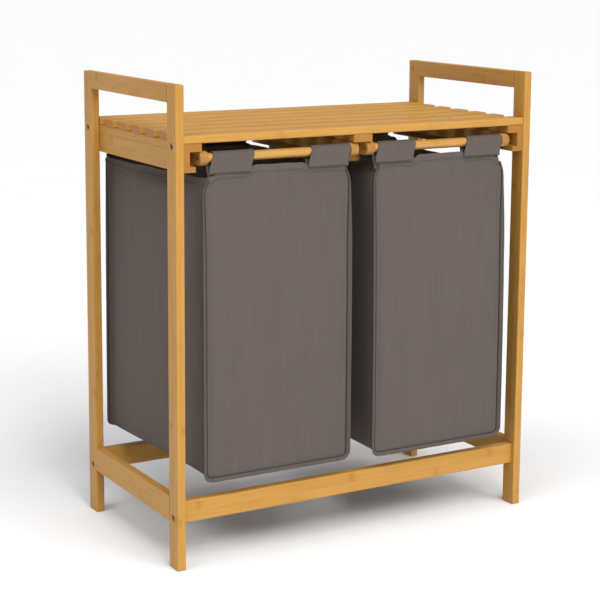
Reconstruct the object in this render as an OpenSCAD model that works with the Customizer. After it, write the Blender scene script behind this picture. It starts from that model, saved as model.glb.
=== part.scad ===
// Two-bag laundry sorter: a bamboo frame with a slatted top shelf. Two fabric bags hang
// from wooden carriers that slide forward on ledges fixed under the shelf.
// Millimetres. X runs across the width, -Y is the front, +Z is up.
// The origin is on the floor, under the middle of the frame.

/* [Frame] */
// Width over the two side frames
frame_w = 642; // [600:1:700]
// Depth over the posts
frame_d = 334; // [334:1:346]
// Height from the floor to the top of the handles
frame_h = 730; // [715:1:780]
// Thickness of the side frames, measured across the width
post_t = 14; // [14:1:18]
// Width of a post, measured front to back
post_w = 29; // [28:1:34]
// Height of the handle rail at the top of a side frame
handle_h = 27; // [22:1:32]
// Height of the lower rail in a side frame
side_rail_h = 39; // [32:1:44]
// Height of the front and back lower rails
cross_rail_h = 33.5; // [30:0.5:40]
// Thickness of the front and back lower rails
cross_rail_t = 15; // [15:0.5:18]
// Height of the underside of all the lower rails
lower_rail_z = 71.5; // [66:0.5:76]
// How far the cross rails are set back from the faces of the posts
cross_rail_inset = 8; // [6:0.5:9]
// Radius of the softened edges of the timber
edge_r = 1.5; // [1:0.25:2]

/* [Shelf] */
// Height of the top of the shelf
shelf_z = 656; // [650:1:660]
// Number of slats, front to back
slat_n = 7; // [7:1:7]
// Width of a slat
slat_w = 30; // [28:1:32]
// Depth of the shelf over the slats
shelf_d = 330; // [326:1:330]
// Thickness of the slats and of the cleats under them
board_t = 12; // [12:0.5:13]
// Width of the cleat under the middle of the shelf
middle_cleat_w = 33; // [33:1:38]
// Width of the cleat at each end of the shelf
end_cleat_w = 29.4; // [29:0.1:30]

/* [Slides] */
// Height of the groove that a carrier bar runs in
groove_h = 22; // [22:0.5:24]
// Thickness of the wall of an end slide rail
slide_wall_t = 10; // [9:0.5:10]
// Width of an end slide rail over its wall and flange
slide_rail_w = 19.5; // [19.5:0.25:20]
// Thickness of the flange of an end slide rail
flange_t = 8; // [7:0.5:9]
// Thickness of the ledges that the carrier bars rest on
ledge_t = 11; // [10:0.5:14]
// Width of the part of a ledge that is under a bar
ledge_lip = 6.5; // [6:0.5:7]
// How far the guides and ledges are set back from the front of the shelf
guide_setback = 33.5; // [30:0.5:36]
// Space between a carrier bar and the guide beside it
guide_gap = 1.2; // [0.8:0.1:1.4]

/* [Carriers] */
// Distance from the middle of the frame to the inner side of a carrier
carrier_inner_x = 8; // [8:0.5:9]
// Width of a carrier over its two bars
carrier_w = 272; // [271:0.5:272]
// Length of a carrier bar
bar_l = 331; // [320:1:331]
// Thickness of a carrier bar
bar_t = 13.5; // [13:0.5:14]
// Height of a carrier bar and diameter of its rounded ends
bar_h = 21; // [20:0.5:21]
// Diameter of the round rods
rod_d = 15; // [14:0.5:15]

/* [Bags] */
// Width of a bag
bag_w = 254; // [240:1:254]
// Depth of a bag
bag_d = 336; // [330:1:336]
// Height of the floor of a bag above the ground
bag_z = 130; // [120:1:150]
// Height of the top hem of a bag above the ground
hem_z = 600; // [594:1:602]
// Thickness of the cloth
cloth_t = 2.5; // [2:0.25:3]
// Radius of the upright corners of a bag
bag_corner_r = 14; // [8:1:24]
// Thickness of the band of a hanging loop
band_t = 2; // [1.5:0.25:2]
// Width of a hanging loop
loop_w = 68; // [50:1:70]
// Distance from the middle of a bag to the middle of a loop
loop_x = 84; // [60:1:86]
// How far the sewn end of a loop reaches down over the hem
loop_overlap = 3; // [2:0.5:8]

/* [Fasteners] */
// Diameter of the heads of the frame bolts
bolt_head_d = 9.6; // [9:0.1:9.8]
// Depth of the head of a frame bolt below the face of its post
bolt_head_sink = 1.5; // [1:0.25:2]
// Diameter of the shanks of the frame bolts
bolt_d = 6; // [5:0.5:6]
// Length of the shanks of the frame bolts
bolt_l = 40; // [40:1:42]
// Height of the lower frame bolts
low_bolt_z = 80; // [79:0.5:82]
// Diameter of the barrel nuts
nut_d = 9; // [8:0.5:9]
// Diameter of the wooden dowels in the glued joints
dowel_d = 8; // [6:0.5:8]
// Length of the wooden dowels
dowel_l = 27; // [20:1:28]
// How far a dowel of a side frame reaches into its post
dowel_in_post = 9; // [7:0.5:9]
// Diameter of the wood screws
screw_d = 3.4; // [3:0.1:3.4]
// Diameter of the heads of the wood screws
screw_head_d = 5.8; // [5:0.1:5.8]

/* [Hidden] */
$fn = 48;

BAMBOO = [0.85, 0.66, 0.38];
BAMBOO_PALE = [0.89, 0.72, 0.46];
BAMBOO_DEEP = [0.76, 0.55, 0.28];
CLOTH = [0.42, 0.38, 0.35];
STEEL = [0.55, 0.53, 0.5];

// Overshoot of a cut, and the clearance of a pin in its hole, on the diameter.
eps = 0.01;
fit = 0.1;

// Side frames and lower rails
outer_x = frame_w / 2;
inner_x = outer_x - post_t;
outer_y = frame_d / 2;
side_x = outer_x - post_t / 2;
side_rail_l = frame_d - 2 * post_w;
cross_rail_y = outer_y - cross_rail_inset - cross_rail_t / 2;
handle_z = frame_h - handle_h / 2;

// Shelf
slat_pitch = (shelf_d - slat_w) / (slat_n - 1);
slat_y0 = (slat_w - shelf_d) / 2;
slat_bottom = shelf_z - board_t;
cleat_bottom = slat_bottom - board_t;
slat_edge_r = 2;

// Slides
groove_bottom = cleat_bottom - groove_h;
flange_bottom = groove_bottom - flange_t;
guide_front_y = guide_setback - shelf_d / 2;
guide_l = shelf_d - guide_setback;
guide_y = guide_front_y + guide_l / 2;

// Carriers, with a little room above and below each bar in its groove
bar_lift = 0.3;
carrier_outer_x = carrier_inner_x + carrier_w;
rod_z = groove_bottom + bar_lift + bar_h / 2;
rod_y = (bar_l - bar_h) / 2;
rod_l = carrier_w - 2 * bar_t;
rod_x0 = carrier_inner_x + bar_t;
tenon_d = 10;
tenon_l = 7.5;

// Guides: the end ones fill the space between a carrier and the slide rail's wall
end_guide_in = carrier_outer_x + guide_gap;
end_guide_w = inner_x - slide_wall_t - end_guide_in;
middle_guide_w = 2 * (carrier_inner_x - guide_gap);
end_ledge_in = carrier_outer_x - ledge_lip;
end_ledge_w = inner_x - slide_rail_w - end_ledge_in;
middle_ledge_w = 2 * (carrier_inner_x + ledge_lip);

// Bags
bag_x = carrier_inner_x + carrier_w / 2;
panel_offset = bag_d / 2 - rod_y;

// Frame bolts and their barrel nuts
bolt_head_h = 4;
bolt_slack = 0.4;
low_nut_l = 10;
high_nut_l = 7;
nut_in = 24;
high_bolt_y = outer_y - post_w / 2 + 0.5;
high_bolt_z = cleat_bottom + board_t * 2 / 3;

// Dowels: one at each end of a handle rail, two at each end of a side rail and one
// beside each lower bolt
side_dowel_z = [handle_z, lower_rail_z + 19.5, lower_rail_z + side_rail_h - 8.5];
dowel_y = side_rail_l / 2 + dowel_in_post - dowel_l;
pin_z = lower_rail_z + cross_rail_h - 8.5;
pin_l = 26;
pin_depth = 9;

// Wood screws. The screws of the outermost slats stand clear of the upper bolts.
screw_head_h = 2.4;
screw_sink = 0.5;
slat_screw_l = 18;
guide_screw_l = 40;
carrier_screw_l = 28;
slat_screw_x = [-(inner_x - end_cleat_w / 2), 0, inner_x - end_cleat_w / 2];
slat_screw_y = [for (i = [0 : slat_n - 1])
  slat_y0 + i * slat_pitch + (i == 0 ? 8 : i == slat_n - 1 ? -8 : 0)];
guide_screw_x = end_guide_in + 3;
guide_screw_y = [guide_front_y + 13.5, -slat_pitch / 2, 2.5 * slat_pitch];

// ---------------------------------------------------------------- shared shapes

module round_rect(a, b, r) {
  square([a - 2 * r, b], center = true);
  square([a, b - 2 * r], center = true);
  for (i = [-1, 1], j = [-1, 1])
    translate([i * (a / 2 - r), j * (b / 2 - r)]) circle(r = r);
}

// Timbers centred on the origin, with their four long edges softened.
module timber_z(a, b, l, r = edge_r) {
  translate([0, 0, -l / 2]) linear_extrude(height = l) round_rect(a, b, r);
}

module timber_x(l, b, h, r = edge_r) {
  rotate([90, 0, 90]) timber_z(b, h, l, r);
}

module timber_y(a, l, h, r = edge_r) {
  rotate([90, 0, 0]) timber_z(a, h, l, r);
}

module rod_x(d, l) {
  rotate([0, 90, 0]) cylinder(d = d, h = l);
}

module rod_along_y(d, l) {
  rotate([-90, 0, 0]) cylinder(d = d, h = l);
}

// What is drawn for the right, or for the back right corner, is mirrored to the others.
module at_side(side) {
  mirror([side < 0 ? 1 : 0, 0, 0]) children();
}

module at_corner(side, end) {
  at_side(side) mirror([0, end < 0 ? 1 : 0, 0]) children();
}

module at_corners() {
  for (side = [-1, 1], end = [-1, 1]) at_corner(side, end) children();
}

// ---------------------------------------------------------------- side frames

module bolt_hole() {
  translate([-post_t - eps, 0, 0]) rod_x(bolt_d + bolt_slack, post_t + 1);
  translate([-bolt_head_sink - bolt_head_h, 0, 0]) rod_x(bolt_head_d + bolt_slack, post_t);
}

module post(side, end) {
  color(BAMBOO) at_corner(side, end) difference() {
    translate([side_x, outer_y - post_w / 2, frame_h / 2]) intersection() {
      timber_z(post_t, post_w, frame_h);
      timber_x(post_t, post_w, frame_h);
      timber_y(post_t, post_w, frame_h);
    }
    translate([outer_x, cross_rail_y, low_bolt_z]) bolt_hole();
    translate([outer_x, high_bolt_y, high_bolt_z]) bolt_hole();
    translate([inner_x - eps, cross_rail_y, pin_z]) rod_x(dowel_d, pin_depth + eps);
    for (z = side_dowel_z)
      translate([side_x, dowel_y, z]) rod_along_y(dowel_d, dowel_l);
  }
}

// A rail between the two posts of a side frame, with a dowel hole in each end.
module side_rail(side, h, z, tone) {
  color(tone) at_side(side) difference() {
    translate([side_x, 0, z]) timber_y(post_t, side_rail_l, h);
    for (end = [-1, 1], dowel_z = side_dowel_z) mirror([0, end < 0 ? 1 : 0, 0])
      translate([side_x, dowel_y, dowel_z]) rod_along_y(dowel_d, dowel_l);
  }
}

module handle_rail(side) {
  side_rail(side, handle_h, handle_z, BAMBOO_PALE);
}

module side_lower_rail(side) {
  side_rail(side, side_rail_h, lower_rail_z + side_rail_h / 2, BAMBOO);
}

// ---------------------------------------------------------------- cross rails

module cross_rail(end) {
  color(BAMBOO) mirror([0, end < 0 ? 1 : 0, 0]) difference() {
    translate([0, cross_rail_y, lower_rail_z + cross_rail_h / 2])
      timber_x(2 * inner_x, cross_rail_t, cross_rail_h);
    for (side = [-1, 1]) at_side(side) translate([inner_x, cross_rail_y, 0]) {
      translate([-bolt_l, 0, low_bolt_z]) rod_x(bolt_d + bolt_slack, bolt_l + 1);
      translate([-nut_in, -cross_rail_t / 2 - eps, low_bolt_z])
        rod_along_y(nut_d + fit, (cross_rail_t + low_nut_l) / 2 + fit);
      translate([-pin_l, 0, pin_z]) rod_x(dowel_d, pin_l + 1);
    }
  }
}

// ---------------------------------------------------------------- shelf

module slat(i) {
  tones = [BAMBOO, BAMBOO_PALE, BAMBOO_DEEP];
  color(tones[i % 3]) difference() {
    translate([0, slat_y0 + i * slat_pitch, shelf_z - board_t / 2])
      timber_x(2 * inner_x, slat_w, board_t, slat_edge_r);
    for (x = slat_screw_x)
      translate([x, slat_screw_y[i], slat_bottom - eps])
        cylinder(d = screw_d, h = screw_sink + slat_screw_l - board_t + 1);
  }
}

// The hole for a wood screw that stands on z = 0, with room for its head.
module screw_hole(l) {
  translate([0, 0, -eps]) {
    cylinder(d = screw_d + 2 * fit, h = l);
    cylinder(d = screw_head_d + 2 * fit, h = screw_sink + screw_head_h + fit);
  }
}

module cleat(side, w) {
  x = side * (inner_x - w / 2);
  color(BAMBOO_DEEP) difference() {
    translate([x, 0, cleat_bottom + board_t / 2]) timber_y(w, shelf_d, board_t, 0.8);
    for (y = slat_screw_y) translate([x, y, cleat_bottom]) screw_hole(board_t + 1);
    for (y = guide_screw_y)
      translate([side * guide_screw_x, y, cleat_bottom - eps]) cylinder(d = screw_d, h = 9);
    if (side != 0)
      for (end = [-1, 1]) at_corner(side, end) {
        translate([outer_x - bolt_l, high_bolt_y, high_bolt_z])
          rod_x(bolt_d + bolt_slack, bolt_l);
        translate([inner_x - nut_in, high_bolt_y, cleat_bottom - eps])
          cylinder(d = nut_d + fit, h = high_bolt_z - cleat_bottom + high_nut_l / 2 + fit);
      }
  }
}

// ---------------------------------------------------------------- slides

// An end slide rail: a wall against the side frame and a flange that turns inwards.
module slide_rail(side) {
  color(BAMBOO) at_side(side) rotate([90, 0, 0]) translate([0, 0, -shelf_d / 2])
    linear_extrude(height = shelf_d) {
      translate([inner_x - slide_wall_t, flange_bottom])
        square([slide_wall_t, cleat_bottom - flange_bottom]);
      translate([inner_x - slide_rail_w, flange_bottom]) square([slide_rail_w, flange_t]);
    }
}

module guide_screw_holes(side) {
  for (y = guide_screw_y)
    translate([side * guide_screw_x, y, groove_bottom - ledge_t]) screw_hole(guide_screw_l);
}

// The bar beside the carriers, and the ledge under it that they rest on. side is 0 for
// the ones in the middle of the frame.
module guide_bar(side, w) {
  color(BAMBOO_DEEP) difference() {
    translate([side * (end_guide_in + w / 2), guide_y, groove_bottom + groove_h / 2])
      timber_y(w, guide_l, groove_h, 0.6);
    guide_screw_holes(side);
  }
}

module slide_ledge(side, w) {
  color(BAMBOO) difference() {
    translate([side * (end_ledge_in + w / 2), guide_y, groove_bottom - ledge_t / 2])
      timber_y(w, guide_l, ledge_t, 1);
    guide_screw_holes(side);
  }
}

// ---------------------------------------------------------------- fasteners

// A socket-head bolt along -X, with the face of its head at x = 0.
module socket_bolt() {
  difference() {
    union() {
      translate([-bolt_head_h, 0, 0]) rod_x(bolt_head_d, bolt_head_h);
      translate([bolt_head_sink - bolt_l, 0, 0]) rod_x(bolt_d, bolt_l - bolt_head_sink - 1);
    }
    translate([-2.5, 0, 0]) rotate([0, 90, 0]) cylinder(d = 4.6, h = 3, $fn = 6);
  }
}

module frame_bolts() {
  color(STEEL) at_corners() translate([outer_x - bolt_head_sink, 0, 0]) {
    translate([0, cross_rail_y, low_bolt_z]) socket_bolt();
    translate([0, high_bolt_y, high_bolt_z]) socket_bolt();
  }
}

// A barrel nut along Z, centred on the axis of its bolt.
module barrel_nut(l) {
  difference() {
    cylinder(d = nut_d, h = l, center = true);
    translate([-nut_d, 0, 0]) rod_x(bolt_d + fit, 2 * nut_d);
  }
}

module barrel_nuts() {
  color(STEEL) at_corners() translate([inner_x - nut_in, 0, 0]) {
    translate([0, cross_rail_y, low_bolt_z]) rotate([90, 0, 0]) barrel_nut(low_nut_l);
    translate([0, high_bolt_y, high_bolt_z]) barrel_nut(high_nut_l);
  }
}

module frame_dowels() {
  color(BAMBOO_PALE) at_corners() {
    translate([inner_x + pin_depth - pin_l, cross_rail_y, pin_z])
      rod_x(dowel_d - fit, pin_l - 0.5);
    for (z = side_dowel_z)
      translate([side_x, dowel_y + 0.5, z]) rod_along_y(dowel_d - fit, dowel_l - 1);
  }
}

// A cross-head wood screw pointing up, its head starting at z = 0.
module wood_screw(l) {
  slot = [screw_head_d * 0.6, 0.8];
  difference() {
    union() {
      cylinder(d1 = screw_head_d, d2 = screw_d - fit, h = screw_head_h);
      cylinder(d = screw_d - fit, h = l);
    }
    for (a = [0, 90]) rotate(a) translate([-slot.x / 2, -slot.y / 2, -eps]) cube([slot.x, slot.y, 1]);
  }
}

module slat_screws() {
  color(STEEL) for (x = slat_screw_x, y = slat_screw_y)
    translate([x, y, cleat_bottom + screw_sink]) wood_screw(slat_screw_l);
}

module guide_screws() {
  color(STEEL) for (side = [-1, 0, 1], y = guide_screw_y)
    translate([side * guide_screw_x, y, groove_bottom - ledge_t + screw_sink])
      wood_screw(guide_screw_l);
}

// ---------------------------------------------------------------- carriers

// A carrier is drawn for the right of the frame: two bars, one rod at each end, and
// screws that go through the bars into the rods.
module bar_outline() {
  square([bar_l - bar_h, bar_h], center = true);
  for (end = [-1, 1]) translate([end * rod_y, 0]) circle(d = bar_h);
}

// A bar with its outer face at x = 0, reaching to +X.
module carrier_bar_shape() {
  difference() {
    rotate([90, 0, 90]) linear_extrude(height = bar_t) bar_outline();
    for (end = [-1, 1]) translate([0, end * rod_y, 0]) {
      rotate([0, 90, 0]) screw_hole(bar_t + 1);
      translate([bar_t - tenon_l, 0, 0]) rod_x(tenon_d + fit, tenon_l + 1);
    }
  }
}

module carrier_inner_bar(side) {
  color(BAMBOO) at_side(side) translate([carrier_inner_x, 0, rod_z]) carrier_bar_shape();
}

module carrier_outer_bar(side) {
  color(BAMBOO) at_side(side) translate([carrier_outer_x, 0, rod_z]) mirror([1, 0, 0])
    carrier_bar_shape();
}

module carrier_rod(side, end) {
  screw_hole_l = carrier_screw_l - bar_t + tenon_l + 2;
  color(BAMBOO_PALE) at_side(side) translate([rod_x0, end * rod_y, rod_z]) difference() {
    union() {
      rod_x(rod_d, rod_l);
      translate([fit - tenon_l, 0, 0]) rod_x(tenon_d - fit, rod_l + 2 * (tenon_l - fit));
    }
    translate([-tenon_l, 0, 0]) rod_x(screw_d, screw_hole_l);
    translate([rod_l + tenon_l - screw_hole_l, 0, 0]) rod_x(screw_d, screw_hole_l);
  }
}

module carrier_screws(side) {
  color(STEEL) at_side(side) for (end = [-1, 1]) {
    translate([carrier_inner_x + screw_sink, end * rod_y, rod_z])
      rotate([0, 90, 0]) wood_screw(carrier_screw_l);
    translate([carrier_outer_x - screw_sink, end * rod_y, rod_z])
      rotate([0, -90, 0]) wood_screw(carrier_screw_l);
  }
}

// ---------------------------------------------------------------- bags

// An open-topped cloth bag with a flat floor.
module bag(side) {
  color(CLOTH) translate([side * bag_x, 0, bag_z]) difference() {
    linear_extrude(height = hem_z - bag_z) round_rect(bag_w, bag_d, bag_corner_r);
    translate([0, 0, cloth_t]) linear_extrude(height = hem_z)
      round_rect(bag_w - 2 * cloth_t, bag_d - 2 * cloth_t, bag_corner_r - cloth_t);
  }
}

function arc(r, a0, a1, n) =
  [for (i = [0 : n]) let (a = a0 + (a1 - a0) * i / n) [r * cos(a), r * sin(a)]];

// Section of a hanging loop around a rod at the origin, with the outside of the bag on
// the left. The band comes up from the hem and passes over the rod.
module loop_section() {
  r_in = rod_d / 2 + 0.5;
  r_out = r_in + band_t;
  hem = hem_z - rod_z;
  outside = -panel_offset - band_t;
  difference() {
    polygon(concat(
      arc(r_out, -56, 163, 24),
      [[outside, hem + 3], [outside, hem - loop_overlap], [-panel_offset, hem - loop_overlap],
       [-panel_offset, hem], [-panel_offset + cloth_t, hem]]));
    polygon(concat(
      arc(r_in, -54, 160, 24),
      [[-panel_offset + 0.2, hem + 3.6], [-panel_offset + 1.6, hem + 2.6]]));
  }
}

module bag_loops(side) {
  color(CLOTH) for (i = [-1, 1], end = [-1, 1])
    translate([side * bag_x + i * loop_x - loop_w / 2, 0, rod_z]) mirror([0, end < 0 ? 0 : 1, 0])
      translate([0, -rod_y, 0]) rotate([90, 0, 90]) linear_extrude(height = loop_w) loop_section();
}

// ---------------------------------------------------------------- nodes

post(-1, -1);  // front_left_post
post(-1, 1);  // back_left_post
post(1, -1);  // front_right_post
post(1, 1);  // back_right_post
handle_rail(-1);  // left_handle_rail
handle_rail(1);  // right_handle_rail
side_lower_rail(-1);  // left_lower_rail
side_lower_rail(1);  // right_lower_rail
cross_rail(-1);  // front_lower_rail
cross_rail(1);  // back_lower_rail
for (i = [0 : slat_n - 1])
  slat(i);
cleat(-1, end_cleat_w);  // left_shelf_cleat
cleat(0, middle_cleat_w);  // middle_shelf_cleat
cleat(1, end_cleat_w);  // right_shelf_cleat
slide_rail(-1);  // left_slide_rail
slide_rail(1);  // right_slide_rail
guide_bar(-1, end_guide_w);  // left_guide_bar
guide_bar(0, middle_guide_w);  // middle_guide_bar
guide_bar(1, end_guide_w);  // right_guide_bar
slide_ledge(-1, end_ledge_w);  // left_slide_ledge
slide_ledge(0, middle_ledge_w);  // middle_slide_ledge
slide_ledge(1, end_ledge_w);  // right_slide_ledge
frame_bolts();
barrel_nuts();
frame_dowels();
slat_screws();
guide_screws();
carrier_outer_bar(-1);  // left_carrier_outer_bar
carrier_inner_bar(-1);  // left_carrier_inner_bar
carrier_rod(-1, -1);  // left_carrier_front_rod
carrier_rod(-1, 1);  // left_carrier_back_rod
carrier_screws(-1);  // left_carrier_screws
bag(-1);  // left_bag
bag_loops(-1);  // left_bag_loops
carrier_outer_bar(1);  // right_carrier_outer_bar
carrier_inner_bar(1);  // right_carrier_inner_bar
carrier_rod(1, -1);  // right_carrier_front_rod
carrier_rod(1, 1);  // right_carrier_back_rod
carrier_screws(1);  // right_carrier_screws
bag(1);  // right_bag
bag_loops(1);  // right_bag_loops
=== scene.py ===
"""Looks of a two-bag bamboo laundry sorter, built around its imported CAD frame.

Metres, in the frame of the CAD model: X across the width, -Y to the front, +Z up.
The timber and the fasteners are the CAD's own nodes with better materials. The two cloth
bags and their hanging loops are sewn here and stand for the plain CAD solids.
"""
import math

import bmesh
import bpy
from mathutils import Matrix, Vector, noise


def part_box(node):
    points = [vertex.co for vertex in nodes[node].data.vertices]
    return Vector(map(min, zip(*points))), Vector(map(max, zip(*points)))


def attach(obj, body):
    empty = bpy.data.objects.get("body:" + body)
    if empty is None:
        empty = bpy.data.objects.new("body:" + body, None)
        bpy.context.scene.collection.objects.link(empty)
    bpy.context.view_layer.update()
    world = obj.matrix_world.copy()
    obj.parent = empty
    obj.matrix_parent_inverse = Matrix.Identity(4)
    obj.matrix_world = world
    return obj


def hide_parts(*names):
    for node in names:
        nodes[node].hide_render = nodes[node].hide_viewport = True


MM = 0.001

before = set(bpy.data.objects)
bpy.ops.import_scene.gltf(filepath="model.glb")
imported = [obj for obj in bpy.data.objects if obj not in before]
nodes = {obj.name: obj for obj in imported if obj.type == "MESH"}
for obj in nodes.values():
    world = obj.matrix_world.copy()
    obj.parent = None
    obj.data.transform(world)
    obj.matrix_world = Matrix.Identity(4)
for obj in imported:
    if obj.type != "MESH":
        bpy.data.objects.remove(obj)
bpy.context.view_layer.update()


# ------------------------------------------------------------------ small helpers


def smooth(x):
    """0 below 0, 1 above 1, and an even S between."""
    x = max(0.0, min(1.0, x))
    return x * x * (3 - 2 * x)


def hump(x, centre, width):
    """A rounded ridge of height 1 at centre."""
    return math.exp(-(((x - centre) / width) ** 2))


def linear(rgb):
    """A colour given as it shows on a screen, 0 to 255, as the shader wants it."""
    channels = [c / 255 for c in rgb]
    return tuple(c / 12.92 if c <= 0.04045 else ((c + 0.055) / 1.055) ** 2.4 for c in channels) + (1.0,)


# ------------------------------------------------------------------ node building


class Graph:
    """A material's node tree, with short names for the nodes it is built from."""

    def __init__(self, name):
        self.material = bpy.data.materials.new(name)
        self.material.use_nodes = True
        self.tree = self.material.node_tree
        self.shader = self.tree.nodes["Principled BSDF"]

    def node(self, kind, **settings):
        made = self.tree.nodes.new(kind)
        for key, value in settings.items():
            setattr(made, key, value)
        return made

    def put(self, socket, value):
        """Links a socket to a socket, or sets the plain value it has."""
        if isinstance(value, bpy.types.NodeSocket):
            self.tree.links.new(value, socket)
        else:
            socket.default_value = value

    def math(self, operation, a, b=0.0, c=0.0):
        made = self.node("ShaderNodeMath", operation=operation)
        for socket, value in zip(made.inputs, (a, b, c)):
            self.put(socket, value)
        return made.outputs[0]

    def mix(self, factor, a, b, blend="MIX"):
        made = self.node("ShaderNodeMix", data_type="RGBA", blend_type=blend)
        self.put(made.inputs["Factor"], factor)
        self.put(made.inputs[6], a)
        self.put(made.inputs[7], b)
        return made.outputs[2]

    def steps(self, value, low, high, to_low=0.0, to_high=1.0):
        """value from low to high as to_low to to_high, with soft ends and no overshoot."""
        made = self.node("ShaderNodeMapRange", interpolation_type="SMOOTHSTEP")
        for socket, number in zip(made.inputs, (value, low, high, to_low, to_high)):
            self.put(socket, number)
        return made.outputs[0]

    def vector(self, x, y, z):
        made = self.node("ShaderNodeCombineXYZ")
        for socket, value in zip(made.inputs, (x, y, z)):
            self.put(socket, value)
        return made.outputs[0]

    def split(self, vector):
        made = self.node("ShaderNodeSeparateXYZ")
        self.put(made.inputs[0], vector)
        return made.outputs

    def noise(self, vector, scale, detail=2.0, roughness=0.5):
        made = self.node("ShaderNodeTexNoise")
        self.put(made.inputs["Vector"], vector)
        made.inputs["Scale"].default_value = scale
        made.inputs["Detail"].default_value = detail
        made.inputs["Roughness"].default_value = roughness
        return made.outputs["Fac"]

    def chance(self, vector):
        """An even random number for each whole-number cell."""
        made = self.node("ShaderNodeTexWhiteNoise", noise_dimensions="3D")
        self.put(made.inputs["Vector"], vector)
        return made.outputs["Value"]

    def bump(self, height, distance, strength=1.0, normal=None):
        made = self.node("ShaderNodeBump")
        made.inputs["Strength"].default_value = strength
        made.inputs["Distance"].default_value = distance
        self.put(made.inputs["Height"], height)
        if normal is not None:
            self.put(made.inputs["Normal"], normal)
        return made.outputs[0]


# ------------------------------------------------------------------ materials

BAMBOO_PALE = linear((197, 153, 79))
BAMBOO_MID = linear((186, 139, 66))
BAMBOO_DEEP = linear((166, 113, 44))
BAMBOO_MARK = linear((124, 74, 26))
CLOTH_LIGHT = linear((100, 91, 86))
CLOTH_DARK = linear((82, 74, 70))
# The seam thread is darker than real thread, and is sewn thick and close, so that it also paints the shadow
# of the seam creases and of the loops' sewn ends.
SEAM_THREAD_AND_SHADE = (linear((30, 27, 25)), linear((52, 46, 43)))
HEM_THREAD = (linear((62, 56, 52)), linear((88, 80, 75)))
STEEL_BRIGHT = linear((150, 144, 136))
STEEL_DULL = linear((118, 110, 100))


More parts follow.
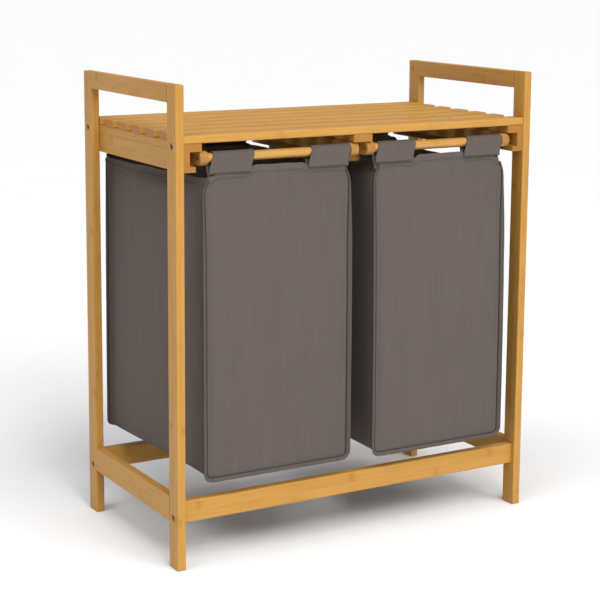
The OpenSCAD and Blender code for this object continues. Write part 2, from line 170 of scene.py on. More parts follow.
def bamboo(name, grain, across, layers, shade=1.0, marks=1.0, glue_line=0.04, glue_dark=0.16, coat=0.06):
    """Laminated bamboo. grain is the axis, 0 to 2, that the fibres run along. The timber is
    glued from strips: layers of them side by side along each of the two axes in across.
    shade darkens the whole piece, marks is the strength of the cane's nodes, glue_line is
    the width of a glue line as a share of a strip, glue_dark is how dark it is, and coat is
    how much lacquer the piece has."""
    g = Graph(name)
    place = g.split(g.node("ShaderNodeTexCoord").outputs["Object"])
    generated = g.split(g.node("ShaderNodeTexCoord").outputs["Generated"])
    facing = g.split(g.node("ShaderNodeTexCoord").outputs["Normal"])
    own = g.node("ShaderNodeObjectInfo").outputs["Random"]

    # Which strip a point is in, and how near it is to the glue line beside it.
    cells = []
    glue = 0.0
    for axis, count in zip(across, layers):
        turn = g.math("MULTIPLY", generated[axis], count)
        cells.append(g.math("FLOOR", g.math("MINIMUM", turn, count - 0.001)))
        part = g.math("FRACT", turn)
        edge = g.math("MINIMUM", part, g.math("SUBTRACT", 1.0, part))
        near = g.steps(edge, 0.0, glue_line, 1.0, 0.0)
        inside = g.steps(g.math("ABSOLUTE", g.math("SUBTRACT", generated[axis], 0.5)), 0.47, 0.49, 1.0, 0.0)
        glue = g.math("MAXIMUM", glue, g.math("MULTIPLY", near, inside))
    strip = g.chance(g.vector(cells[0], cells[1], g.math("MULTIPLY", own, 31.0)))
    strip_2 = g.chance(g.vector(cells[1], g.math("ADD", cells[0], 7.3), g.math("MULTIPLY", own, 17.0)))

    # Fibres: noise drawn out along the grain, shifted from strip to strip.
    shift = g.math("MULTIPLY", g.math("ADD", strip, own), 4.7)
    stretched = [g.math("ADD", place[axis], shift) for axis in range(3)]
    stretched[grain] = g.math("MULTIPLY", stretched[grain], 0.035)
    along = g.vector(*stretched)
    fibre = g.noise(along, 1900.0, 3.0, 0.65)
    streak = g.noise(along, 420.0, 3.0, 0.6)
    cloud = g.noise(g.vector(*[g.math("ADD", p, shift) for p in place]), 11.0, 2.0)

    # Nodes of the cane: a ragged darker band across each strip, every 0.27 m or so. Some of
    # them hardly show.
    ring_gap = 0.27
    ragged = g.math("MULTIPLY", g.math("SUBTRACT", streak, 0.5), 0.016)
    wobble = g.math("ADD", g.math("MULTIPLY", g.math("SUBTRACT", cloud, 0.5), 0.02), ragged)
    ring_place = g.math("ADD", g.math("ADD", place[grain], wobble), g.math("MULTIPLY", strip_2, ring_gap))
    ring_count = g.math("DIVIDE", g.math("ADD", ring_place, 5.0), ring_gap)
    ring_off = g.math("ABSOLUTE", g.math("SUBTRACT", g.math("FRACT", ring_count), 0.5))
    ring_seen = g.chance(g.vector(g.math("FLOOR", ring_count), g.math("MULTIPLY", strip, 9.0), own))
    ring_seen = g.steps(ring_seen, 0.2, 0.9, 0.15, 1.0)
    ring_line = g.math("MULTIPLY", g.steps(ring_off, 0.0, 0.012, 1.0, 0.0), ring_seen)
    ring_halo = g.math("MULTIPLY", g.steps(ring_off, 0.004, 0.045, 1.0, 0.0), ring_seen)

    tone = g.math("ADD", g.math("MULTIPLY", fibre, 0.42), g.math("MULTIPLY", streak, 0.58))
    colour = g.mix(g.steps(tone, 0.3, 0.68), BAMBOO_DEEP, BAMBOO_PALE)
    colour = g.mix(0.52, colour, BAMBOO_MID)
    colour = g.mix(g.math("MULTIPLY", strip, 0.22), colour, BAMBOO_DEEP)
    colour = g.mix(g.math("MULTIPLY", g.steps(cloud, 0.35, 0.7), 0.22), colour, BAMBOO_PALE)
    colour = g.mix(g.math("MULTIPLY", ring_halo, 0.42 * marks), colour, BAMBOO_DEEP)
    colour = g.mix(g.math("MULTIPLY", ring_line, 0.17 * marks), colour, BAMBOO_MARK)
    colour = g.mix(g.math("MULTIPLY", glue, glue_dark), colour, BAMBOO_MARK)

    # End grain: cut fibres show as dark dots.
    end = g.steps(g.math("ABSOLUTE", facing[grain]), 0.55, 0.85)
    dots = g.node("ShaderNodeTexVoronoi")
    dots.inputs["Scale"].default_value = 900.0
    g.put(dots.inputs["Vector"], g.vector(*place))
    dot = g.steps(dots.outputs["Distance"], 0.25, 0.5, 1.0, 0.0)
    cut = g.mix(g.math("MULTIPLY", dot, 0.4), BAMBOO_DEEP, BAMBOO_MARK)
    cut = g.mix(g.math("MULTIPLY", strip, 0.2), cut, BAMBOO_MARK)
    colour = g.mix(g.math("MULTIPLY", end, 0.8), colour, cut)
    colour = g.mix(1.0, colour, (shade, shade * 0.985, shade * 0.96, 1.0), "MULTIPLY")

    g.put(g.shader.inputs["Base Color"], colour)
    g.put(g.shader.inputs["Roughness"], g.steps(streak, 0.25, 0.75, 0.52, 0.4))
    g.shader.inputs["Specular IOR Level"].default_value = 0.22
    g.shader.inputs["Coat Weight"].default_value = coat
    g.shader.inputs["Coat Roughness"].default_value = 0.12
    g.shader.inputs["Coat IOR"].default_value = 1.6
    height = g.math("ADD", g.math("MULTIPLY", fibre, 0.5), g.math("MULTIPLY", ring_line, 0.9))
    height = g.math("SUBTRACT", height, g.math("MULTIPLY", glue, 0.6))
    g.put(g.shader.inputs["Normal"], g.bump(height, 0.00018, 0.55))
    return g.material


def cloth(name, tint=1.0):
    """A plain weave of matt yarn. The UV map named weave is in metres: across and up."""
    g = Graph(name)
    uv = g.split(g.node("ShaderNodeUVMap", uv_map="weave").outputs[0])
    across, up = uv[0], uv[1]
    yarn = 0.0011
    turn = 2 * math.pi / yarn
    warp = g.math("SINE", g.math("MULTIPLY", across, turn))
    weft = g.math("SINE", g.math("MULTIPLY", up, turn))
    over = g.math("MULTIPLY", warp, weft)

    def drawn_out(per_across, per_up, layer, detail=2.0, roughness=0.5):
        """Noise with a scale of its own across the cloth and another up it."""
        x = g.math("MULTIPLY", across, per_across)
        y = g.math("MULTIPLY", up, per_up)
        return g.noise(g.vector(x, y, layer), 1.0, detail, roughness)

    slub_up = drawn_out(900.0, 14.0, 0.0, 3.0, 0.6)
    slub_across = drawn_out(16.0, 900.0, 3.0)
    band = drawn_out(95.0, 4.5, 6.0, 3.0, 0.55)
    patch = drawn_out(7.0, 5.0, 9.0)

    tone = g.math("ADD", g.math("MULTIPLY", slub_up, 0.5), g.math("MULTIPLY", slub_across, 0.2))
    tone = g.math("ADD", tone, g.math("MULTIPLY", band, 0.3))
    colour = g.mix(g.steps(tone, 0.36, 0.66), CLOTH_DARK, CLOTH_LIGHT)
    mean = g.mix(0.5, CLOTH_DARK, CLOTH_LIGHT)
    colour = g.mix(0.6, colour, mean)
    colour = g.mix(g.math("MULTIPLY", g.steps(patch, 0.3, 0.7), 0.2), colour, CLOTH_LIGHT)
    # Painted shade: the cloth is darker where the weave's bump is low, in the hollows between the yarns.
    colour = g.mix(g.steps(over, -1.0, 1.0, 0.16, 0.0), colour, CLOTH_DARK, "MULTIPLY")
    colour = g.mix(1.0, colour, (tint, tint, tint, 1.0), "MULTIPLY")
    g.put(g.shader.inputs["Base Color"], colour)
    g.put(g.shader.inputs["Roughness"], g.steps(tone, 0.3, 0.7, 0.88, 0.78))
    g.shader.inputs["Sheen Weight"].default_value = 0.06
    g.shader.inputs["Sheen Roughness"].default_value = 0.45
    g.shader.inputs["Specular IOR Level"].default_value = 0.3
    weave = g.math("ADD", g.math("MULTIPLY", over, 0.5), g.math("MULTIPLY", slub_up, 0.8))
    soft = g.bump(band, 0.0009, 0.2)
    g.put(g.shader.inputs["Normal"], g.bump(weave, 0.00022, 0.6, soft))
    return g.material


def thread(name, dark, light):
    """Twisted sewing thread."""
    g = Graph(name)
    place = g.split(g.node("ShaderNodeTexCoord").outputs["Object"])
    twist = g.math("ADD", g.math("ADD", place[0], place[1]), place[2])
    ply = g.math("SINE", g.math("MULTIPLY", twist, 2 * math.pi / 0.0006))
    g.put(g.shader.inputs["Base Color"], g.mix(g.steps(ply, -1.0, 1.0), dark, light))
    g.shader.inputs["Roughness"].default_value = 0.6
    g.put(g.shader.inputs["Normal"], g.bump(ply, 0.0001, 0.5))
    return g.material


def steel():
    """Brushed and plated steel, duller in patches."""
    g = Graph("steel")
    place = g.node("ShaderNodeTexCoord").outputs["Object"]
    brushed = [g.math("MULTIPLY", p, scale) for p, scale in zip(g.split(place), (40, 900, 900))]
    scratch = g.noise(g.vector(*brushed), 1.0, 3.0)
    cloud = g.noise(place, 160.0, 2.0)
    colour = g.mix(g.steps(cloud, 0.3, 0.7), STEEL_BRIGHT, STEEL_DULL)
    g.put(g.shader.inputs["Base Color"], colour)
    g.shader.inputs["Metallic"].default_value = 1.0
    g.put(g.shader.inputs["Roughness"], g.steps(scratch, 0.3, 0.7, 0.42, 0.28))
    g.put(g.shader.inputs["Normal"], g.bump(scratch, 0.00005, 0.4))
    return g.material


def finish_timber():
    """Gives each CAD timber the bamboo of its own grain direction and its own lay-up."""
    x, y, z = 0, 1, 2
    post = bamboo("bamboo_post", z, (x, y), (2, 2), 0.97, glue_line=0.08, glue_dark=0.36)
    side_rail = bamboo("bamboo_side_rail", y, (x, z), (2, 2), 0.99, 1.2)
    cross_rail = bamboo("bamboo_cross_rail", x, (y, z), (2, 2), 1.0, 1.2)
    slat = bamboo("bamboo_slat", x, (y, z), (5, 1), 1.02, 0.8)
    cleat = bamboo("bamboo_cleat", y, (x, z), (4, 1), 0.97)
    slide = bamboo("bamboo_slide", y, (x, z), (1, 2), 0.95)
    carrier_bar = bamboo("bamboo_carrier_bar", y, (x, z), (2, 1), 0.97, 0.7, coat=0.7)
    rod = bamboo("bamboo_rod", x, (y, z), (1, 1), 1.04, 0.5, coat=1.0)
    metal = steel()
    kinds = [
        ("screws", metal), ("bolts", metal), ("nuts", metal), ("post", post),
        ("handle_rail", side_rail), ("left_lower_rail", side_rail),
        ("right_lower_rail", side_rail), ("lower_rail", cross_rail), ("shelf_slat", slat),
        ("cleat", cleat), ("slide", slide), ("guide", slide), ("dowels", rod), ("rod", rod),
        ("_bar", carrier_bar),
    ]
    for name, node in nodes.items():
        found = [material for key, material in kinds if key in name]
        if found:
            node.data.materials.clear()
            node.data.materials.append(found[0])


# ------------------------------------------------------------------ sewing helpers


def mesh_object(name, verts, faces, uvs, material):
    """A smooth-shaded piece with a UV map named weave, one (u, v) for each vertex."""
    mesh = bpy.data.meshes.new(name)
    mesh.from_pydata(verts, [], faces)
    layer = mesh.uv_layers.new(name="weave")
    for loop in mesh.loops:
        layer.data[loop.index].uv = uvs[loop.vertex_index]
    mesh.materials.append(material)
    mesh.shade_smooth()
    obj = bpy.data.objects.new(name, mesh)
    bpy.context.scene.collection.objects.link(obj)
    return obj


def thicken(obj, thickness, offset=-1.0):
    """Gives a sheet its thickness: with an offset of -1 on the side away from its faces'
    normals, and with 0 half on each side."""
    solid = obj.modifiers.new("thickness", "SOLIDIFY")
    solid.thickness = thickness
    solid.offset = offset
    solid.use_even_offset = True


def face_outwards(obj):
    """Turns the faces of a closed mesh outwards."""
    mesh = bmesh.new()
    mesh.from_mesh(obj.data)
    bmesh.ops.recalc_face_normals(mesh, faces=mesh.faces)
    mesh.to_mesh(obj.data)
    mesh.free()


def apply_all(obj):
    """Applies every modifier, so that the mesh is what it shows."""
    graph = bpy.context.evaluated_depsgraph_get()
    mesh = bpy.data.meshes.new_from_object(obj.evaluated_get(graph))
    obj.modifiers.clear()
    obj.data = mesh


def stitches(name, paths, material, step=4.2 * MM, length=2.9 * MM, radius=0.42 * MM):
    """A row of sewn stitches along each path, a list of (point, outward normal)."""
    verts = []
    faces = []
    for path in paths:
        walked = 0.0
        due = 0.0
        for (a, normal_a), (b, normal_b) in zip(path, path[1:]):
            gap = (b - a).length
            while gap > 0 and due < walked + gap:
                part = (due - walked) / gap
                centre = a.lerp(b, part)
                normal = normal_a.lerp(normal_b, part).normalized()
                along = (b - a).normalized()
                side = along.cross(normal).normalized()
                base = len(verts)
                for end, size in ((-1, 0.35), (-0.6, 1.0), (0.6, 1.0), (1, 0.35)):
                    middle = centre + along * (end * length / 2) + normal * (0.25 * radius)
                    for turn in range(6):
                        angle = turn * math.pi / 3
                        out = side * math.cos(angle) + normal * math.sin(angle)
                        verts.append(middle + out * radius * size)
                for ring in range(3):
                    for turn in range(6):
                        one = base + ring * 6 + turn
                        two = base + ring * 6 + (turn + 1) % 6
                        faces.append((one, two, two + 6, one + 6))
                faces.append(tuple(base + turn for turn in reversed(range(6))))
                faces.append(tuple(base + 18 + turn for turn in range(6)))
                due += step
            walked += gap
    uvs = [(0.0, 0.0)] * len(verts)
    obj = mesh_object(name, verts, faces, uvs, material)
    face_outwards(obj)
    return obj


# ------------------------------------------------------------------ bags

WALL = 1.8 * MM
CORNER_R = 4 * MM
BOTTOM_R = 8 * MM
HEM_BAND = 13 * MM
# The hem's stitching, as a distance below its edge.
HEM_STITCHING = HEM_BAND - 2.6 * MM
# How far the hem stands up between the loops.
HEM_RISE = 7 * MM
# How much lower the hem of the outer side is, to hang clear of its carrier's ledge.
LEDGE_CLEARANCE = 4.5 * MM
FLOOR_SAG = 2.4 * MM
WELT_W = 8 * MM
WELT_T = 2.6 * MM
LOOP_W = 68 * MM
LOOP_T = 1.7 * MM
# How far the top of a loop lies to the right of its sewn ends.
LOOP_LEAN = 8.5 * MM


class Bag:
    """The shape of one bag: a sewn box of cloth that hangs by its loops and sags between."""

    def __init__(self, side):
        self.side = side
        self.name = "left" if side < 0 else "right"
        low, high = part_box(f"{self.name}_bag")
        self.middle = (low + high) / 2
        # The seams stand out at the corners, so the panels lie a little further in.
        self.half_x = (high.x - low.x) / 2 - WELT_W * 0.7
        # The left bag is slack, and hangs a little to the left of its loops.
        self.loop_middle = self.middle.x
        if side < 0:
            self.middle.x -= 6 * MM
            self.half_x += 2 * MM
        self.half_y = (high.y - low.y) / 2 - 2 * MM
        # The seams and the sagging floor reach below the lower edge of the panels.
        self.low_z = low.z + (9 if side < 0 else 6) * MM
        self.hem_z = high.z
        loops_low, loops_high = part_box(f"{self.name}_bag_loops")
        self.loop_x = (loops_high.x - loops_low.x - LOOP_W) / 2
        self.seed = 3.0 if side < 0 else 11.0
        # How far the outer side leans out at the back, and the front bows out.
        self.flare = (10.5 if side < 0 else 10) * MM
        self.bow = (4 if side < 0 else 9) * MM
        # How far the hem hangs down on the outer and on the inner side.
        self.sag_outer = (3 if side < 0 else 8) * MM
        self.sag_inner = (-4 if side < 0 else 12) * MM
        self.columns = self.perimeter()

    def perimeter(self):
        """Columns round the bag: (side it is on, share along it, distance from the corner).
        Corners are close-set so that the seams there have a shape."""
        flat_x = 2 * (self.half_x - CORNER_R)
        flat_y = 2 * (self.half_y - CORNER_R)
        arc = CORNER_R * math.pi / 2
        near = [1.6 * MM * i for i in range(7)]
        columns = []
        start = 0.0
        for edge, flat in enumerate((flat_x, flat_y, flat_x, flat_y)):
            inner = flat - 2 * near[-1]
            count = round(inner / (5.5 * MM))
            places = near[:-1]
            places = places + [near[-1] + inner * i / count for i in range(count + 1)]
            places = places + [flat - p for p in reversed(near[:-1])]
            columns += [(edge, p, "flat", start + p) for p in places]
            start += flat
            columns += [(edge, i / 8, "arc", start + arc * i / 8) for i in range(1, 8)]
            start += arc
        self.around = start
        self.arc = arc
        self.flats = (flat_x, flat_y, flat_x, flat_y)
        return columns

    def outline(self, column):
        """Point and outward normal on the rounded rectangle, from the front left corner."""
        edge, part, kind, _ = column
        hx, hy, r = self.half_x, self.half_y, CORNER_R
        corners = [(hx - r, -hy + r), (hx - r, hy - r), (-hx + r, hy - r), (-hx + r, -hy + r)]
        turn = edge * math.pi / 2
        if kind == "arc":
            angle = turn - math.pi / 2 + part * math.pi / 2
            normal = Vector((math.cos(angle), math.sin(angle), 0))
            centre = Vector((*corners[edge], 0))
            return centre + normal * r, normal
        normal = Vector((math.sin(turn), -math.cos(turn), 0))
        along = Vector((math.cos(turn), math.sin(turn), 0))
        centre = Vector((*corners[edge - 1], 0))
        return centre + normal * r + along * part, normal

    def corner_distance(self, walk):
        """Signed distance along the outline from the nearest corner's middle."""
        best = 1e9
        start = 0.0
        for flat in self.flats:
            start += flat
            middle = start + self.arc / 2
            for lap in (-self.around, 0.0, self.around):
                if abs(walk - middle + lap) < abs(best):
                    best = walk - middle + lap
            start += self.arc
        return best

    def hem_sag(self, flat):
        """How far the hem hangs below hem_z at a point of the outline, negative where it
        stands above it."""
        across = flat.x / self.half_x
        depth = flat.y / self.half_y
        on_end = smooth((abs(depth) - 0.9) / 0.1)
        between = 1 - smooth(abs(abs(flat.x) - self.loop_x) / (LOOP_W * 0.8))
        end_sag = -2.6 * MM * between
        # Between the loops the hem stands up behind the rod.
        end_sag -= HEM_RISE * smooth((self.loop_x - LOOP_W / 2 + 4 * MM - abs(flat.x)) / (14 * MM))
        slack = self.sag_outer if across * self.side > 0 else self.sag_inner
        side_sag = 3 * MM + slack * (1 - (depth - 0.15) ** 2)
        ripple = noise.noise(Vector((flat.x * 38, flat.y * 21, self.seed))) * 1.6 * MM
        corner_drop = 2 * MM * smooth((abs(across) - 0.86) / 0.14)
        clear = LEDGE_CLEARANCE * smooth((across * self.side - 0.8) / 0.15)
        return end_sag * on_end + side_sag * (1 - on_end) + ripple + corner_drop + clear

    def welt_share(self, z):
        """How much of its full width a corner seam stands out at a height: less at the hem."""
        return 0.3 + 0.7 * smooth((self.hem_z - z) / 0.13)

    def point(self, column, height):
        """A point of the outside of the bag. height runs from 0 at the bottom to 1 at the hem."""
        walk = column[3]
        flat, normal = self.outline(column)
        across = flat.x / self.half_x
        depth = flat.y / self.half_y
        outwards = math.copysign(1, flat.x)
        top = self.hem_z - self.hem_sag(flat)
        z = self.low_z + (top - self.low_z) * height
        from_bottom = z - self.low_z
        from_top = top - z
        low = 1 - height
        p = flat.copy()

        # One strip of cloth makes the sides and the floor, and turns under in a round bend.
        under = max(0.0, 1 - from_bottom / BOTTOM_R)
        turned_in = BOTTOM_R * (1 - math.sqrt(max(0.0, 1 - under * under)))
        p.x *= 1 - turned_in / self.half_x
        # The whole side panel on the outside of the frame leans outwards to the back.
        outer = smooth((across * self.side + 0.2) / 1.2)
        lean = self.flare * smooth((depth + 1.15) / 2.1) * (0.82 + 0.18 * low)
        p.x += self.side * outer * lean
        # Both sides are drawn in at the hem, where the loops carry the cloth.
        drawn = smooth((height - 0.945) / 0.055) * smooth((0.4 - depth * 0.5) / 0.6)
        spread = 0.5 * WELT_W * (1 - self.welt_share(z))
        p.x += outwards * (spread - 8.5 * MM * drawn) * abs(across) ** 3
        # Front and back panels bow out, most of all low down.
        bow = self.bow if depth < 0 else self.bow * 0.6
        belly = math.sin(math.pi * smooth(low * 1.1)) * (1 - across * across * 0.75)
        bowed = bow * abs(depth) ** 4 * (0.4 * belly + 0.6 * smooth(low / 0.9))
        p.y += math.copysign(1, flat.y) * bowed
        # Side panels are slack: hollow near the hem and near the floor, with a long swell
        # between.
        slack = (1 - depth * depth) * abs(across) ** 4
        p.x += outwards * slack * 4 * MM * math.sin(math.pi * (low * 1.6 - 0.35))

        # Folds: long upright ones that fade downwards, and short puckers under the hem.
        long_fold = noise.noise(Vector((walk * 17, z * 2.4, self.seed)))
        cross_fold = noise.noise(Vector((walk * 6, z * 9, self.seed + 4)))
        pucker = noise.noise(Vector((walk * 75, z * 14, self.seed + 8)))
        near_hem = smooth(1 - from_top / 0.09)
        amount = long_fold * (1.1 + 1.5 * near_hem) * MM + cross_fold * 1.3 * MM
        amount += pucker * 1.5 * MM * near_hem * smooth(from_top / 0.01)
        corner = abs(self.corner_distance(walk))
        amount *= smooth((corner - self.arc / 2) / (24 * MM)) * smooth(from_bottom / (30 * MM))
        # The cloth dips beside the corner seams and swells a little further on.
        beside = smooth(from_top / 0.05)
        amount -= 0.9 * MM * hump(corner, self.arc / 2 + 2.5 * MM, 2.5 * MM) * beside
        amount += 0.5 * MM * hump(corner, self.arc / 2 + 9 * MM, 4 * MM) * beside
        # Hem: the turned-down edge is one cloth thicker, with a dip at its stitching.
        amount += 0.6 * MM * smooth((HEM_BAND - from_top) / (1.2 * MM))
        amount -= 0.4 * MM * hump(from_top, HEM_STITCHING, 1.0 * MM)
        # The hem of a side rolls inwards between the loops.
        amount -= 3 * MM * slack * smooth(1 - from_top / 0.03)
        p += normal * amount
        p += self.middle
        p.z = z
        return p

    def heights(self):
        """Rows up the bag, close-set at the bottom bend and at the hem."""
        tall = self.hem_z - self.low_z
        bend = [BOTTOM_R / MM * (1 - math.cos(math.pi / 2 * i / 10)) for i in range(11)]
        low = bend + [17, 21]
        high = [0, 1.5, 3, 5, 7, 8.6, 9.6, 10.4, 11.2, 12.0, 12.6, 13.2, 14.2, 16, 19]
        low = [h * MM / tall for h in low]
        high = [1 - h * MM / tall for h in reversed(high)]
        gap = high[0] - low[-1]
        count = round(gap * tall / (7.5 * MM))
        return low + [low[-1] + gap * i / count for i in range(1, count)] + high

    def build(self, material):
        """The cloth of the bag, from its floor to its hem."""
        rows = self.heights()
        n = len(self.columns)
        verts = []
        uvs = []
        for height in rows:
            for column in self.columns:
                p = self.point(column, height)
                verts.append(p)
                uvs.append((column[3], p.z))
        faces = []
        for i in range(len(rows) - 1):
            for j in range(n):
                k = (j + 1) % n
                faces.append((i * n + j, i * n + k, (i + 1) * n + k, (i + 1) * n + j))
        verts, uvs, faces = self.add_floor(verts, uvs, faces, n)
        obj = mesh_object(f"{self.name}_bag_cloth", verts, faces, uvs, material)
        thicken(obj, WALL)
        apply_all(obj)
        return obj

    def add_floor(self, verts, uvs, faces, n):
        """Rings that close the bottom, with a shallow sag in the middle."""
        rim = [Vector(v) for v in verts[:n]]
        centre = sum(rim, Vector()) / n
        shares = [0.97, 0.92, 0.84, 0.72, 0.56, 0.38, 0.2]
        previous = list(range(n))
        for share in shares:
            ring = []
            for v in rim:
                p = centre.lerp(v, share)
                p.z = v.z - FLOOR_SAG * smooth((1 - share) * 1.6)
                ring.append(len(verts))
                verts.append(p)
                uvs.append((p.x, p.y))
            for j in range(n):
                k = (j + 1) % n
                faces.append((previous[k], previous[j], ring[j], ring[k]))
            previous = ring
        last = len(verts)
        verts.append(Vector((centre.x, centre.y, centre.z - FLOOR_SAG)))
        uvs.append((centre.x, centre.y))
        for j in range(n):
            faces.append((previous[(j + 1) % n], previous[j], last))
        return verts, uvs, faces

    def hem_path(self):
        """A closed path of (point, normal) round the bag, where the hem is sewn down."""
        path = []
        for column in self.columns + self.columns[:1]:
            flat, normal = self.outline(column)
            tall = self.hem_z - self.hem_sag(flat) - self.low_z
            height = 1 - HEM_STITCHING / tall
            path.append((self.point(column, height) + normal * 0.2 * MM, normal))
        return path

    def seam_path(self, end):
        """The seam round a front or back panel: down one corner, along the bottom and up."""
        panel_edge = 0 if end < 0 else 2
        corners = [c for c in self.columns if c[2] == "arc" and abs(c[1] - 0.5) < 1e-6]
        first = [c for c in corners if c[0] == (panel_edge - 1) % 4][0]
        last = [c for c in corners if c[0] == panel_edge][0]
        bottom = [c for c in self.columns if c[0] == panel_edge and c[2] == "flat"]
        rows = [h for h in self.heights() if h < 0.988]
        points = [self.point(first, h) for h in reversed(rows)]
        points += [self.point(c, 0.0) for c in bottom]
        points += [self.point(last, h) for h in rows]
        return points

    def welt(self, end, material, thread_and_shade_material):
        """The seam allowance of a panel: two cloths sewn together that stand out from the
        corner, with a row of stitching. It grows out of the corner below the hem."""
        points = self.seam_path(end)
        facing = Vector((0, end, 0))
        verts = []
        uvs = []
        seen = []
        hidden = []
        total = len(points)
        walked = 0.0
        # Across the seam: (share of its width outwards, share of its thickness).
        section = [(-0.25, 1.0), (0.2, 1.0), (0.7, 0.96), (0.92, 0.8), (1.0, 0.3)]
        ring = [(o, t) for o, t in section] + [(o, -t) for o, t in reversed(section)]
        for i, p in enumerate(points):
            ahead = points[min(i + 1, total - 1)]
            behind = points[max(i - 1, 0)]
            along = (ahead - behind).normalized()
            away = along.cross(facing).normalized()
            walked += (p - behind).length
            sway = noise.noise(Vector((walked * 24, self.seed, end * 3.0)))
            droop = 0.78 + 0.1 * sway
            if abs(away.z) > 0.5:
                droop *= 0.7
            if end > 0:
                # At the back the seam lies over towards the wall.
                away = away * 0.2
            outward = (away + facing * droop).normalized()
            thick = outward.cross(along).normalized() * (WELT_T / 2)
            if thick.dot(facing) < 0:
                thick = -thick
            uneven = 1 + 0.04 * noise.noise(Vector((walked * 60, 5.0, self.seed)))
            width = WELT_W * self.welt_share(p.z) * uneven
            for o, t in ring:
                verts.append(p + outward * (o * width) + thick * t)
                uvs.append((o * width + t * WELT_T, walked))
            # The thread shows on both faces of the seam, where it is pinched at the corner. Its thick,
            # close-set dark stitches also paint the shadow of the crease there.
            normal = thick.normalized()
            crease = p + outward * (0.12 * width)
            seen.append((crease + thick * 1.04, normal))
            hidden.append((crease - thick * 1.04, -normal))
        faces = []
        n = len(ring)
        for i in range(total - 1):
            for j in range(n):
                k = (j + 1) % n
                faces.append((i * n + j, i * n + k, (i + 1) * n + k, (i + 1) * n + j))
        faces.append(tuple(range(n - 1, -1, -1)))
        faces.append(tuple((total - 1) * n + j for j in range(n)))
        place = "front" if end < 0 else "back"
        # The seam's cloth is painted darker than the bag's, as painted shade.
        strip = mesh_object(f"{self.name}_bag_{place}_seam", verts, faces, uvs, material)
        face_outwards(strip)
        rounded = strip.modifiers.new("rounding", "SUBSURF")
        rounded.levels = 1
        rounded.render_levels = 1
        apply_all(strip)
        name = f"{self.name}_bag_{place}_seam_stitching"
        return [strip, stitches(name, [seen, hidden], thread_and_shade_material, 3.3 * MM, 3.0 * MM, 0.85 * MM)]


# ------------------------------------------------------------------ hanging loops


def loop_section(rod, rod_r, hem_y, hem_z, cloth_t):
    """Section of a loop's mid-line in Y and Z, from its outer sewn end, over the rod, to
    its inner sewn end. The outside of the bag is on the -Y side."""
    reach = rod_r + cloth_t / 2 + 0.5 * MM
    outer = Vector((hem_y, hem_z))

    def tangent(point, sign):
        off = point - rod
        spread = math.acos(max(-1.0, min(1.0, reach / off.length)))
        return math.atan2(off.y, off.x) + sign * spread

    inner = Vector((hem_y + 4.4 * MM, hem_z - 4 * MM))
    first = tangent(outer, -1)
    last = tangent(inner, 1)
    while last > first:
        last -= 2 * math.pi
    points = [outer + Vector((0.0, -3 * MM)), outer]
    count = 26
    for i in range(count + 1):
        angle = first + (last - first) * i / count
        points.append(rod + Vector((math.cos(angle), math.sin(angle))) * reach)
    points += [inner, inner + Vector((0.0, -8 * MM))]
    return points


def spaced(points, step):
    """The polyline with points about step apart."""
    made = [points[0]]
    for a, b in zip(points, points[1:]):
        count = max(1, round((b - a).length / step))
        made += [a.lerp(b, i / count) for i in range(1, count + 1)]
    return made


def build_loop(name, bag, end, place, material, thread_and_shade_material):
    """One hanging loop, a folded band of cloth round the rod and sewn to the hem, and the
    stitching along its bottom edge, whose dark thread also paints the shadow line where the loop meets the
    bag."""
    rod_name = f"{bag.name}_carrier_{'front' if end < 0 else 'back'}_rod"
    low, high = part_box(rod_name)
    rod = Vector(((low.y + high.y) / 2 * -end, (low.z + high.z) / 2))
    rod_r = (high.z - low.z) / 2
    hem_y = -(bag.half_y + 1.6 * MM)
    section = spaced(loop_section(rod, rod_r, hem_y, bag.hem_z + 1 * MM, LOOP_T), 1.6 * MM)
    top = max(p.y for p in section)
    count = 30
    verts = []
    uvs = []
    walked = 0.0
    for i, p in enumerate(section):
        if i:
            walked += (p - section[i - 1]).length
        rise = smooth((p.y - bag.hem_z) / (top - bag.hem_z))
        for j in range(count + 1):
            share = j / count - 0.5
            edge = smooth((abs(share) - 0.42) / 0.05)
            wave = noise.noise(Vector((share * 5 + place * 30, walked * 45, bag.seed + end))) * 0.35 * MM
            width = LOOP_W * (1 + 0.03 * (1 - rise))
            x = bag.loop_middle + place + share * width + LOOP_LEAN * (rise - 0.48)
            outward = 0.35 * MM * edge + wave * (1 - rise) * 0.8
            y = (p.x - outward) * -end
            verts.append(Vector((x, y, p.y + 0.2 * MM * edge * rise)))
            uvs.append((share * LOOP_W, walked))
    faces = []
    across = count + 1
    for i in range(len(section) - 1):
        for j in range(count):
            a = i * across + j
            quad = (a, a + 1, a + across + 1, a + across)
            faces.append(quad if end < 0 else tuple(reversed(quad)))
    obj = mesh_object(name, verts, faces, uvs, material)
    thicken(obj, LOOP_T, 0.0)
    apply_all(obj)
    facing = Vector((0, end, 0))
    # The stitch row in the dark seam thread also paints the shadow line at the loop's foot.
    row = [verts[across + j] + facing * (LOOP_T * 0.55) for j in range(1, count)]
    sewn = stitches(f"{name}_stitching", [[(p, facing) for p in row]], thread_and_shade_material)
    return [obj, sewn]


def build_bag(side, cloth_material, welt_shaded_material, loop_material, seam_thread_and_shade, hem_thread):
    """One bag with its seams, stitching and loops, riding on its carrier."""
    bag = Bag(side)
    body = f"{bag.name}_carrier"
    shell = bag.build(cloth_material)
    sewing = [stitches(f"{bag.name}_bag_hem_stitching", [bag.hem_path()], hem_thread)]
    for end in (-1, 1):
        sewing += bag.welt(end, welt_shaded_material, seam_thread_and_shade)
    loops = []
    for end, end_name in ((-1, "front"), (1, "back")):
        for place, place_name in ((-bag.loop_x, "a"), (bag.loop_x, "b")):
            name = f"{bag.name}_bag_{end_name}_loop_{place_name}"
            loop, loop_stitching_and_shade = build_loop(name, bag, end, place, loop_material, seam_thread_and_shade)
            loops.append(loop)
            sewing.append(loop_stitching_and_shade)
    for piece in [shell] + sewing + loops:
        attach(piece, body)
    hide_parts(f"{bag.name}_bag")
    for piece in loops:
        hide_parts(f"{bag.name}_bag_loops")


# ------------------------------------------------------------------ studio


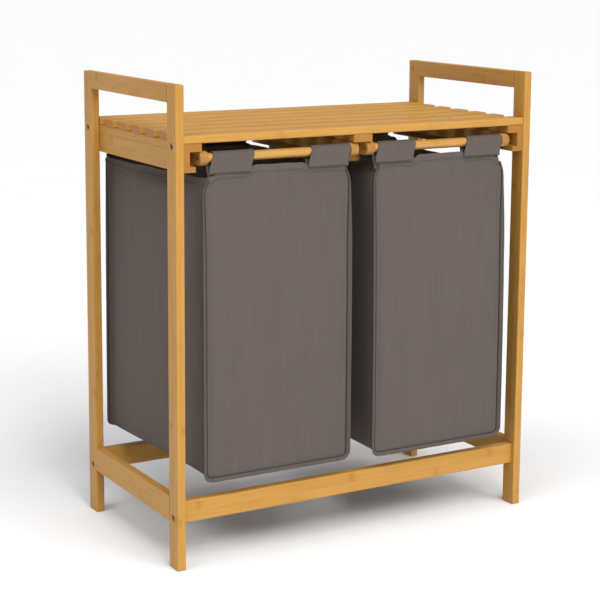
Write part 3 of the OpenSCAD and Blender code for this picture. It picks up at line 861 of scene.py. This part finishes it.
def camera():
    """The viewing angle: turned to the right of +Y, tilted down, and rolled a little."""
    turn = math.radians(30.316)
    tilt = math.radians(9.481)
    roll = math.radians(0.390)
    forward = Vector((math.sin(turn) * math.cos(tilt), math.cos(turn) * math.cos(tilt), -math.sin(tilt)))
    right = Vector((math.cos(turn), -math.sin(turn), 0.0))
    up = right.cross(forward)
    rolled_right = right * math.cos(roll) + up * math.sin(roll)
    rolled_up = up * math.cos(roll) - right * math.sin(roll)
    matrix = Matrix((rolled_right, rolled_up, -forward)).transposed().to_4x4()
    matrix.translation = Vector((-1.3451, -2.2742, 0.9148))
    data = bpy.data.cameras.new("camera")
    data.lens = 98.17
    data.sensor_width = 36.0
    data.shift_y = -0.12
    obj = bpy.data.objects.new("camera", data)
    obj.matrix_world = matrix
    bpy.context.scene.collection.objects.link(obj)
    bpy.context.scene.camera = obj


def floor():
    """A wide pale floor that fades into the backdrop."""
    size = 40.0
    corners = [(-size, -size, 0), (size, -size, 0), (size, size, 0), (-size, size, 0)]
    mesh = bpy.data.meshes.new("floor")
    mesh.from_pydata([Vector(c) for c in corners], [], [(0, 1, 2, 3)])
    g = Graph("floor")
    mottle = g.noise(g.node("ShaderNodeTexCoord").outputs["Object"], 3.0, 2.0)
    g.put(g.shader.inputs["Base Color"], g.mix(mottle, linear((238, 239, 241)), linear((242, 243, 245))))
    g.shader.inputs["Roughness"].default_value = 0.75
    g.shader.inputs["Specular IOR Level"].default_value = 0.15
    mesh.materials.append(g.material)
    obj = bpy.data.objects.new("floor", mesh)
    bpy.context.scene.collection.objects.link(obj)


def area_light(name, place, target, size, power, colour):
    data = bpy.data.lights.new(name, "AREA")
    data.shape = "DISK"
    data.size = size
    data.energy = power
    data.color = colour
    obj = bpy.data.objects.new(name, data)
    obj.location = place
    obj.rotation_euler = (Vector(target) - Vector(place)).to_track_quat("-Z", "Y").to_euler()
    bpy.context.scene.collection.objects.link(obj)


def sun(name, energy, angle, direction, colour=(1.0, 1.0, 1.0)):
    data = bpy.data.lights.new(name, "SUN")
    data.energy = energy
    data.angle = math.radians(angle)
    data.color = colour
    obj = bpy.data.objects.new(name, data)
    obj.rotation_euler = Vector(direction).to_track_quat("-Z", "Y").to_euler()
    bpy.context.scene.collection.objects.link(obj)


def studio():
    """Even light from all round, a wide key light from the front, a soft one from the left
    that throws the pale shadow on the right, and a window for the highlights."""
    world = bpy.data.worlds.new("studio")
    bpy.context.scene.world = world
    world.use_nodes = True
    background = world.node_tree.nodes["Background"]
    background.inputs["Color"].default_value = (1.0, 1.0, 1.0, 1.0)
    background.inputs["Strength"].default_value = 0.42
    sun("key", 2.25, 45, (-0.1, 1.0, -1.05), (1.0, 0.985, 0.96))
    sun("side", 0.8, 30, (0.8, 0.25, -1.5))
    area_light("window", (-0.7, -2.9, 2.4), (0, 0, 0.4), 0.9, 26.0, (1.0, 0.98, 0.95))
    bpy.context.scene.view_settings.view_transform = "Standard"


# ------------------------------------------------------------------ making it

camera()
studio()
floor()
finish_timber()
bag_cloth = cloth("bag_cloth")
# The seams' cloth is the bag's cloth painted darker, as painted shade on the seams that stand out at the
# corners.
shaded_seam_cloth = cloth("shaded_seam_cloth", 0.86)
loop_cloth = cloth("loop_cloth", 0.98)
seam_thread_and_shade = thread("seam_thread_and_shade", *SEAM_THREAD_AND_SHADE)
hem_thread = thread("hem_thread", *HEM_THREAD)
for bag_side in (-1, 1):
    build_bag(bag_side, bag_cloth, shaded_seam_cloth, loop_cloth, seam_thread_and_shade, hem_thread)
